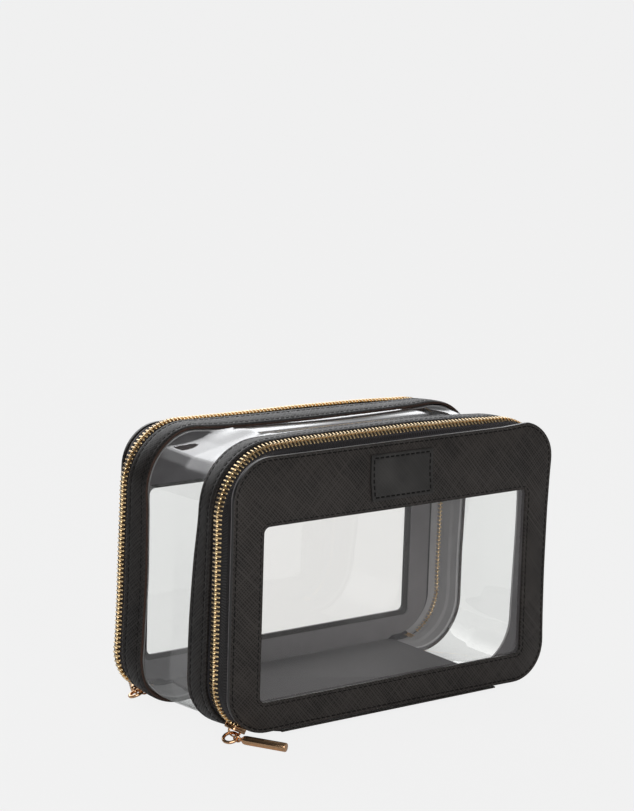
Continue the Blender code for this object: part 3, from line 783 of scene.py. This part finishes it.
STOP_TURN = 7.0                   # degrees of the corner that an end stop takes up
CORNER_TAPE_REACH = 72.0          # from the middle of the bag, where the hinge ends
for word, side, _ in SIDES:
    last = ROUND - corner_length(ZIP_LAST_TURN - STOP_TURN)
    stop = flat_strip(
        side * (ZIP_MIDDLE - 3.0), side * (ZIP_MIDDLE + 3.0), TOOTH_LOW, TOOTH_HIGH,
        ZIP_LAST + 0.4, last, 1.2, 4,
    )
    bend_round(stop)
    round_edges(stop, sharp_edges(stop, 1.2), 0.35, 2)
    finish_piece(stop, f"{word}_zip_stop", "case", "tooth_metal", TOOTH_METAL, f"{word}_end_stop")
    for end, first, last in (
        ("left", CORNER_TAPE_REACH, FLAP_FIRST - 0.3),
        ("right", ZIP_LAST + 0.3, ROUND - CORNER_TAPE_REACH),
    ):
        corner = flat_strip(
            side * (ZIP_MIDDLE - 0.4), side * (PANEL_BACK - 0.1), TAPE_LOW - 0.75,
            TAPE_LOW - 0.1, first, last, 1.5, 10,
        )
        for vert in corner.verts:
            reach = min(vert.co.x, ROUND - vert.co.x)
            near_hinge = clamp((CORNER_TAPE_REACH + 9.0 - reach) / 5.0)
            level = abs(vert.co.y)
            vert.co.z += near_hinge * clamp((level - 43.3) / 1.5) * (
                2.9 + 0.4 * clamp((level - 46.0) / 5.0)
            )
        wrap(corner)
        corner_piece = finish_piece(corner, f"{word}_corner_tape_{end}", None, "tape", TAPE)
        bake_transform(corner_piece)


# ---- Panels --------------------------------------------------
# Each opening panel is a leather frame with a clear window, backed with lining.
# Its edge is turned and painted, and black thread runs round the edge and the window.

FRAME_THICKNESS = 1.8
WINDOW_SIDE, WINDOW_TOP, WINDOW_BOTTOM = 18.0, 37.4, 16.6
WINDOW_CORNER = 3.6
SEAM_INSET = 1.9                  # from an edge to the row of stitches
GROOVE, GROOVE_HALF = 0.25, 0.7   # how deep the stitches pull the leather in, and how far
PANEL_MIDDLE = (PANEL_LOW + PANEL_HIGH) / 2
RIM_REACH = 8.0                   # the painted edge lies this near to the panel's sides


def ring_edges(faces):
    """The edges round a set of faces."""
    chosen = set(faces)
    return [
        edge for edge in {edge for face in faces for edge in face.edges}
        if len([face for face in edge.link_faces if face in chosen]) == 1
    ]


def rounded_plate(half, low, high, corner, near, far, segments=14):
    """A flat plate standing in the XZ plane, with rounded corners."""
    near, far = sorted((near, far))
    shape = block((2 * half, far - near, high - low))
    round_edges(shape, edges_along(shape, 1, (far - near) / 2), corner, segments)
    shift(shape, (0.0, (near + far) / 2, (low + high) / 2))
    return shape


def tighten_corners(verts, half, low, high, was, wanted):
    """Make the rounded corners of a loop smaller, with their sides where they are."""
    middle, half_height = (low + high) / 2, (high - low) / 2
    for vert in verts:
        past_x = abs(vert.co.x) - half + was
        past_z = abs(vert.co.z - middle) - half_height + was
        if min(past_x, past_z) >= -0.01:
            new_x = half - wanted + past_x * wanted / was
            new_z = half_height - wanted + past_z * wanted / was
            vert.co.x = math.copysign(new_x, vert.co.x)
            vert.co.z = middle + math.copysign(new_z, vert.co.z - middle)


def cut_across(shape):
    """Cut long faces into short ones, so that a panel can bend."""
    for normal, places in (
        ((0.0, 0.0, 1.0), range(32, 140, 9)), ((1.0, 0.0, 0.0), range(-84, 90, 12)),
    ):
        for place in places:
            everything = shape.verts[:] + shape.edges[:] + shape.faces[:]
            bmesh.ops.bisect_plane(
                shape, geom=everything, plane_co=Vector(normal) * (place + 0.37), plane_no=normal,
            )
    return shape


def framed_plate(near, far, groove_side, rim=0.4, edge=0.0, wider=0.0):
    """A panel-shaped plate with a window cut out. The side that shows has grooves."""
    shape = rounded_plate(
        PANEL_HALF - edge, PANEL_LOW + edge, PANEL_HIGH - edge, PANEL_CORNER - edge, near, far
    )
    sides = [face for face in shape.faces if abs(face.normal.y) > 0.9]
    inward = WINDOW_BOTTOM - edge - wider
    groove_side_y = min(near, far) if groove_side < 0 else max(near, far)
    steps = [SEAM_INSET - GROOVE_HALF, GROOVE_HALF, GROOVE_HALF]
    steps.append(inward - 2 * SEAM_INSET - 2 * GROOVE_HALF)
    steps += [GROOVE_HALF, GROOVE_HALF, SEAM_INSET - GROOVE_HALF]
    for number, step in enumerate(steps):
        bmesh.ops.inset_region(shape, faces=sides, thickness=step, use_even_offset=True)
        inner = {vert for face in sides for vert in face.verts}
        if number == 3:
            inset = sum(steps[:4])
            tighten_corners(
                inner, PANEL_HALF - edge - inset, PANEL_LOW + edge + inset,
                PANEL_HIGH - edge - inset, PANEL_CORNER - edge - inset,
                WINDOW_CORNER + SEAM_INSET + GROOVE_HALF,
            )
            for vert in inner:
                if vert.co.z > PANEL_MIDDLE:
                    vert.co.z -= WINDOW_TOP - WINDOW_BOTTOM
                vert.co.x -= math.copysign(WINDOW_SIDE - WINDOW_BOTTOM, vert.co.x)
        deeper = {1: -GROOVE, 2: GROOVE, 5: -GROOVE, 6: GROOVE}.get(number, 0.0)
        for vert in inner:
            if abs(vert.co.y - groove_side_y) < 0.5:
                vert.co.y += groove_side * deeper
    loops = [item for face in sides for item in ring_edges([face])]
    bmesh.ops.delete(shape, geom=sides, context="FACES_ONLY")
    bmesh.ops.bridge_loops(shape, edges=loops)
    for face in shape.faces:
        middle = face.calc_center_median()
        outer = abs(middle.x) > PANEL_HALF - RIM_REACH
        outer = outer or abs(middle.z - PANEL_MIDDLE) > PANEL_HIGH - PANEL_MIDDLE - RIM_REACH
        if abs(face.normal.y) < 0.5 and outer:
            face.material_index = 1
    if rim:
        rounded = [
            item for item in shape.edges
            if item.is_manifold and item.calc_face_angle(0.0) > 1.2
            and all(abs(vert.co.y - groove_side_y) < 0.01 for vert in item.verts)
        ]
        round_edges(shape, rounded, rim, 4)
    return cut_across(shape)


def ease(shape, side):
    """Let a flat panel bow, ripple and pull out of square, as soft leather does."""
    for vert in shape.verts:
        across, height = vert.co.x, vert.co.z
        x, z = across / PANEL_HALF, (height - PANEL_MIDDLE) / 75.0
        top_part = max(0.0, (height - 120.0) / 34.0)
        if side < 0:
            low_part = clamp((134.0 - height) / 12.0)
            vert.co.x += low_part * np.interp(across, (-110, -92, 92, 110), (0, 1.9, 0.8, 0))
            right = max(0.0, across / 110.0) ** 4
            vert.co.x += right * np.interp(
                height, (5, 15, 26, 37, 59, 70, 81, 103, 125, 141, 154),
                (1.3, 0.7, -0.1, -0.7, -1.3, -1.5, -1.5, -1.4, -0.6, 0.6, 0.6),
            )
            vert.co.z += np.interp(across, (40, 78, 92, 110), (0, 0, 1.2, 0.6)) * top_part
            vert.co.z -= right * max(0.0, (30.0 - height) / 26.0)
        else:
            vert.co.z += top_part * np.interp(
                across, (0, 40, 72, 92, 110), (0, -1.7, -2.6, -2.9, -0.8)
            )
        bow = 0.5 * (1 - x * x) * (1 - z * z) - 0.25
        ripple = 0.18 * math.sin(5.1 * x + 1.3) * math.sin(3.7 * z + 0.4)
        vert.co.y += side * (bow + ripple)


def stitch_ring(half, low, high, corner, depth, side, width=STITCH_WIDTH):
    """Stitches round a rounded rectangle on an upright panel."""
    places = np.linspace(0.0, 8.0, 1601)
    x, z, _, _ = outline(half, low, high, corner, corner, places)
    run = np.concatenate(([0.0], np.cumsum(np.hypot(np.diff(x), np.diff(z)))))
    count = int(run[-1] / STITCH_PITCH)
    row = repeat(stitch(width), run[-1] / count, count)
    along, across, out = points_of(row).T
    place = np.interp(np.mod(along, run[-1]), run, places)
    x, z, out_x, out_z = outline(half, low, high, corner, corner, place)
    move_points(row, np.stack(
        (x + out_x * across, side * (depth + out), z + out_z * across), axis=1
    ))
    return row


WINDOW_VINYL = clear_vinyl("clear_vinyl_window", (0.990, 0.988, 0.982), 0.05)
SEAM_DEPTH = FACE - GROOVE + 0.10
SHEET_HOLD = 6.0                  # how far the window's sheet runs on under the frame
for word, side, _ in SIDES:
    flap = f"{word}_flap"
    leather = framed_plate(side * FACE, side * (FACE - FRAME_THICKNESS), side)
    mark_flat(leather, up=2)
    ease(leather, side)
    panel = finish_piece(leather, f"{word}_panel", flap, "leather", LEATHER, f"{word}_frame")
    panel.data.materials.append(EDGE_PAINT)
    seams = join_shapes([
        stitch_ring(
            PANEL_HALF - SEAM_INSET, PANEL_LOW + SEAM_INSET, PANEL_HIGH - SEAM_INSET,
            PANEL_CORNER - SEAM_INSET, SEAM_DEPTH, side,
        ),
        stitch_ring(
            PANEL_HALF - WINDOW_SIDE + SEAM_INSET, PANEL_LOW + WINDOW_BOTTOM - SEAM_INSET,
            PANEL_HIGH - WINDOW_TOP + SEAM_INSET, WINDOW_CORNER + SEAM_INSET, SEAM_DEPTH, side,
        ),
    ])
    ease(seams, side)
    finish_piece(seams, f"{word}_panel_seams", flap, "leather", THREAD_WITH_HOLE_SHADE)
    window = rounded_plate(
        PANEL_HALF - WINDOW_SIDE + SHEET_HOLD, PANEL_LOW + WINDOW_BOTTOM - SHEET_HOLD,
        PANEL_HIGH - WINDOW_TOP + SHEET_HOLD, WINDOW_CORNER, side * 51.05, side * 51.55, 6,
    )
    cut_across(window)
    ease(window, side)
    finish_piece(
        window, f"{word}_window_sheet", flap, "clear_pvc", WINDOW_VINYL, f"{word}_window"
    )
    lining = framed_plate(side * 50.1, side * 50.8, 0, 0.0, 0.6, 2.6)
    mark_flat(lining, up=2)
    ease(lining, side)
    finish_piece(
        lining, f"{word}_panel_lining", flap, "lining", FLAP_LINING, f"{word}_backing"
    )


# ---- Label patch ---------------------------------------------
# A small bare patch of the same leather is sewn on above the front window.
# Its edges are cut square and painted, and one row of stitches runs round it.

PATCH_HALF, PATCH_RISE = 21.25, 12.75
PATCH_HIGH = 148.0
PATCH_LOW = PATCH_HIGH - 2 * PATCH_RISE
PATCH_THICKNESS = 1.2
patch = grid_sheet(-PATCH_HALF, PATCH_HALF, -PATCH_RISE, PATCH_RISE, 86, 52)
for vert in patch.verts:
    edge_near = min(PATCH_HALF - abs(vert.co.x), PATCH_RISE - abs(vert.co.y))
    vert.co.z = PATCH_THICKNESS - 0.28 * max(0.0, 1 - abs(edge_near - SEAM_INSET) / 0.9)
    vert.co.z -= 0.15 * max(0.0, 1 - edge_near / 0.5) ** 2
grown = bmesh.ops.extrude_edge_only(patch, edges=ring_edges(patch.faces[:]))
for vert in new_points(grown):
    vert.co.z = -0.1
bmesh.ops.contextual_create(
    patch, geom=[item for item in grown["geom"] if isinstance(item, bmesh.types.BMEdge)
                 and abs(item.verts[0].co.z - item.verts[1].co.z) < 0.01]
)
stand_up(patch)
shift(patch, (0.0, -FACE, (PATCH_HIGH + PATCH_LOW) / 2))
for face in patch.faces:
    if abs(face.normal.y) < 0.6:
        face.material_index = 1
mark_flat(patch, up=2)
ease(patch, -1)
SMOOTH_LEATHER = grain_leather("smooth_leather_black", (0.0250, 0.0236, 0.0224), 0.40, 0.12, 0.05)
label = finish_piece(patch, "label", "front_flap", "leather", SMOOTH_LEATHER, "label_patch")
label.data.materials.append(EDGE_PAINT)
patch_seam = stitch_ring(
    PATCH_HALF - SEAM_INSET, PATCH_LOW + SEAM_INSET, PATCH_HIGH - SEAM_INSET, 0.6,
    FACE + PATCH_THICKNESS - 0.15, -1, 0.86,
)
ease(patch_seam, -1)
finish_piece(patch_seam, "label_seam", "front_flap", "leather", THREAD_WITH_HOLE_SHADE)


# ---- Base ----------------------------------------------------
# A stiff board between leather and lining keeps the bottom flat. Each panel hinges on a
# strip of the bottom leather that bends up to meet it.

for name, finish in (("base_board", EDGE_PAINT), ("base_lining", LINING)):
    low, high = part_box(name)
    cover = block(tuple((high - low) * 1000))
    shift(cover, tuple((high + low) * 500))
    round_edges(cover, edges_along(cover, 2, 0.5), 5.0, 6)
    round_edges(cover, sharp_edges(cover, 1.2), 0.3, 2)
    mark_flat(cover)
    finish_piece(cover, name.replace("base", "bottom"), "case", "leather", finish, name)


def lift_edge(y):
    """How far the bottom leather rises off the floor towards the panels."""
    return 1.6 * clamp((abs(y) - 36.0) / 10.0) ** 1.6


def lift_hinge(y):
    """How far a hinge rises from the bottom leather to its panel."""
    return 1.6 + 1.5 * clamp((abs(y) - 46.0) / 6.0)


def base_sheet(node, thickness, columns, rows, height):
    """A sheet of bottom leather in place of a node, at a height that changes across."""
    low, high = (corner * 1000 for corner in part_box(node))
    sheet = grid_sheet(low.x, high.x, low.y, high.y, columns, rows)
    grown = bmesh.ops.extrude_face_region(sheet, geom=sheet.faces[:], use_keep_orig=True)
    upper = set(new_points(grown))
    for vert in sheet.verts:
        vert.co.z = height(vert.co.y) + (thickness if vert in upper else 0.0)
    mark_flat(sheet)
    return sheet


low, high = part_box("base_cover")
cover = base_sheet("base_cover", (high.z - low.z) * 1000, 60, 40, lift_edge)
finish_piece(cover, "bottom_cover", "case", "leather", LEATHER, "base_cover")

for word, side, _ in SIDES:
    hinge = base_sheet(f"{word}_hinge_strip", 0.8, 40, 24, lift_hinge)
    hinge_piece = finish_piece(hinge, f"{word}_hinge", None, "leather", LEATHER,
                               f"{word}_hinge_strip")
    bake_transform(hinge_piece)


# ---- Sliders and pulls ---------------------------------------
# A cast slider runs on each zip, with a bridge that holds a plain ring. A turned rod
# hangs from the ring by an eye. All of it is plated in polished rose gold.

PARK_TURN = 28.03                 # degrees up the corner where the sliders rest
PULL_HEADING = 28.0
PLATE_LOW, PLATE_HIGH = 0.35, 1.95
RING_RADIUS, RING_WIRE = 3.9, 0.88
EYE_RADIUS, EYE_WIRE = 1.75, 0.62
ROD_RADIUS, ROD_LENGTH = 2.4, 26.0


def slider_wall(side):
    """The low wall along one side of a slider."""
    shape = block((8.2, 0.7, 1.7))
    round_edges(shape, shape.edges[:], 0.2, 3)
    shift(shape, (-0.5, side * 4.15, -0.25))
    return shape


def slider_plate():
    """A plate that narrows towards its nose, with rounded corners and a soft rim."""
    shape = block((10.0, 9.4, PLATE_HIGH - PLATE_LOW))
    for vert in shape.verts:
        if vert.co.x > 0:
            vert.co.y *= 0.80
    round_edges(shape, edges_along(shape, 2, 0.5), 1.7, 5)
    round_edges(shape, sharp_edges(shape, 1.0), 0.42, 3)
    shift(shape, (0.0, 0.0, (PLATE_LOW + PLATE_HIGH) / 2))
    return shape


def slider_bridge():
    """The arched bridge on top of the slider, spun from its section and flattened."""
    shape = bmesh.new()
    bmesh.ops.create_circle(shape, cap_ends=False, segments=12, radius=0.5)
    stretch(shape, (1.05, 1.75, 1.0))
    shift(shape, (3.95, 0.0, 0.0))
    spin(shape, (0, 1, 0), -math.pi, 22)
    bmesh.ops.holes_fill(shape, edges=[edge for edge in shape.edges if edge.is_boundary])
    stretch(shape, (1.0, 1.0, 0.80))
    shift(shape, (0.0, 0.0, PLATE_HIGH - 0.12))
    return shape


def wire_ring(radius, wire, steps, sides):
    """A closed ring of round wire in the XY plane."""
    shape = bmesh.new()
    bmesh.ops.create_circle(shape, cap_ends=False, segments=sides, radius=wire)
    stand_up(shape)
    shift(shape, (radius, 0.0, 0.0))
    spin(shape, (0, 0, 1), 2 * math.pi, steps, use_merge=True)
    return shape


def turned_rod():
    """The pull rod, turned from its profile along X from the middle of its eye."""
    first = EYE_RADIUS + EYE_WIRE - 0.35
    last = EYE_RADIUS + EYE_WIRE + 0.3 + ROD_LENGTH
    profile = (
        (first, 0.0), (first, 0.75), (first + 0.45, 1.05), (first + 1.2, 1.25),
        (first + 1.5, 1.8), (first + 2.1, 2.18), (first + 3.0, ROD_RADIUS - 0.05),
        (first + 4.0, ROD_RADIUS), (last - 0.32, ROD_RADIUS), (last - 0.1, ROD_RADIUS - 0.1),
        (last, ROD_RADIUS - 0.32), (last, 0.0),
    )
    shape = bmesh.new()
    line = [shape.verts.new((x, 0.0, r)) for x, r in profile]
    for one, two in zip(line, line[1:]):
        shape.edges.new((one, two))
    spin(shape, (1, 0, 0), 2 * math.pi, 48, use_merge=True)
    return shape


JOINT_PLACES = {joint["name"]: Vector(joint["pos_m"]) * 1000 for joint in frame["joints"]}
park, heading = math.radians(PARK_TURN), math.radians(PULL_HEADING)
out = Vector((-math.sin(park), 0.0, -math.cos(park)))
along = Vector((-math.cos(park), 0.0, math.sin(park)))
across = out.cross(along)
level = Vector((0.0, 0.0, 1.0))
seat_x, seat_z, _, _ = track([1.0 + PARK_TURN / 90.0])
for word, side, _ in SIDES:
    seat = Vector((seat_x[0], side * ZIP_MIDDLE, seat_z[0]))
    plate = join_shapes([slider_plate(), slider_wall(1), slider_wall(-1)])
    eye_middle = JOINT_PLACES[f"{word}_pull_lift"]
    ahead = Vector((math.sin(heading), side * math.cos(heading), 0.0))
    ring_middle = eye_middle - ahead * RING_RADIUS
    slope = (ring_middle - JOINT_PLACES[f"{word}_ring_swing"]).normalized()
    upward = ahead.cross(slope)
    ring = wire_ring(RING_RADIUS, RING_WIRE, 56, 18)
    eye = wire_ring(EYE_RADIUS, EYE_WIRE, 36, 14)
    for shape, place, axes, name, body, node in (
        (plate, seat, (-along, -across, out), "slider", "slider", "slider_body"),
        (slider_bridge(), seat, (-along, -across, out), "slider_bridge", "slider",
         "slider_crown"),
        (ring, ring_middle, (ahead, slope, upward), "ring_wire", "ring", "pull_ring"),
        (eye, eye_middle, (ahead, upward, -slope), "rod_eye", "pull", "pull_eye"),
        (turned_rod(), eye_middle, (ahead, level.cross(ahead), level), "rod", "pull",
         "pull_rod"),
    ):
        turned = Matrix(axes).transposed().to_4x4()
        bmesh.ops.transform(
            shape, matrix=Matrix.Translation(place) @ turned, verts=shape.verts[:]
        )
        finish_piece(
            shape, f"{word}_{name}", f"{word}_{body}", "slider_metal", SLIDER_METAL,
            f"{word}_{node}",
        )


# ---- Studio --------------------------------------------------
# A pale floor, a broad lamp at the front left, a tall band of soft light behind the bag
# from its middle round to the right, and the camera.

made, tree = new_finish("studio_floor_pale")
plain = put(tree, "BsdfDiffuse", Color=(0.862, 0.862, 0.862, 1.0))
glow = put(tree, "Emission", Color=(0.905, 0.905, 0.905, 1.0))
seen = put(tree, "LightPath")
share = reckon(tree, "MULTIPLY", seen.outputs["Is Camera Ray"], 0.94)
mix = put(tree, "MixShader", share, plain.outputs["BSDF"], glow.outputs["Emission"])
put(tree, "OutputMaterial", Surface=mix.outputs["Shader"])
new_mesh("studio_floor", grid_sheet(-12, 12, -12, 12, 1, 1), made)

world = bpy.data.worlds.new("studio")
bpy.context.scene.world = world
world.use_nodes = True
tree = world.node_tree
tree.nodes.clear()
toward = put(tree, "TexCoord")
parts = put(tree, "SeparateXYZ", Vector=toward.outputs["Generated"])
band_of_light = 1.0
for axis, low, high, first, last in (
    ("X", -0.55, -0.15, 0.0, 1.0), ("Y", 0.42, 0.60, 0.0, 1.0),
    ("Z", 0.10, 0.22, 0.0, 1.0), ("Z", 0.72, 0.84, 1.0, 0.0),
):
    edge = put(
        tree, "MapRange", Value=parts.outputs[axis], From_Min=low, From_Max=high,
        To_Min=first, To_Max=last,
    )
    edge.interpolation_type = "SMOOTHSTEP"
    band_of_light = reckon(tree, "MULTIPLY", band_of_light, edge.outputs["Result"])
ambient = put(
    tree, "MapRange", Value=parts.outputs["X"], From_Min=-0.6, From_Max=0.3,
    To_Min=0.04, To_Max=0.22,
)
strength = reckon(tree, "MULTIPLY_ADD", band_of_light, 2.0, ambient.outputs["Result"])
sky = put(tree, "Background", Color=(0.98, 0.985, 1.0, 1.0), Strength=strength)
white = put(tree, "Background", Color=(0.871, 0.871, 0.871, 1.0))
seen = put(tree, "LightPath")
either = put(
    tree, "MixShader", seen.outputs["Is Camera Ray"], sky.outputs["Background"],
    white.outputs["Background"],
)
put(tree, "OutputWorld", Surface=either.outputs["Shader"])

light = bpy.data.lights.new("front_left", "AREA")
light.shape = "SQUARE"
light.size = 2.0
light.energy = 36.0
lamp = new_object("front_left", light)
lamp.location = (-0.97, -1.62, 0.55)
aim = Vector((0.0, 0.0, 0.08)) - lamp.location
lamp.rotation_euler = aim.to_track_quat("-Z", "Y").to_euler()

CAMERA_TURN, CAMERA_LIFT, CAMERA_ROLL = (
    math.radians(-37.52), math.radians(10.92), math.radians(1.79),
)
CAMERA_TARGET = Vector((-0.0174, 0.0, 0.1654))
CAMERA_DISTANCE = 1.3882
CAMERA_LENS = 112.2
back = Vector((
    math.sin(CAMERA_TURN) * math.cos(CAMERA_LIFT),
    -math.cos(CAMERA_TURN) * math.cos(CAMERA_LIFT),
    math.sin(CAMERA_LIFT),
))
level_right = Vector((0, 0, 1)).cross(back).normalized()
level_up = back.cross(level_right)
right = level_right * math.cos(CAMERA_ROLL) + level_up * math.sin(CAMERA_ROLL)
up = level_up * math.cos(CAMERA_ROLL) - level_right * math.sin(CAMERA_ROLL)
camera = new_object("camera", bpy.data.cameras.new("camera"))
camera.matrix_world = Matrix.Translation(CAMERA_TARGET + back * CAMERA_DISTANCE) @ Matrix(
    (right, up, back)
).transposed().to_4x4()
camera.data.lens = CAMERA_LENS
camera.data.sensor_width = 36.0
camera.data.clip_start = 0.01
camera.data.clip_end = 60.0
bpy.context.scene.camera = camera
bpy.context.scene.view_settings.view_transform = "Standard"
bpy.context.scene.cycles.transparent_max_bounces = 24
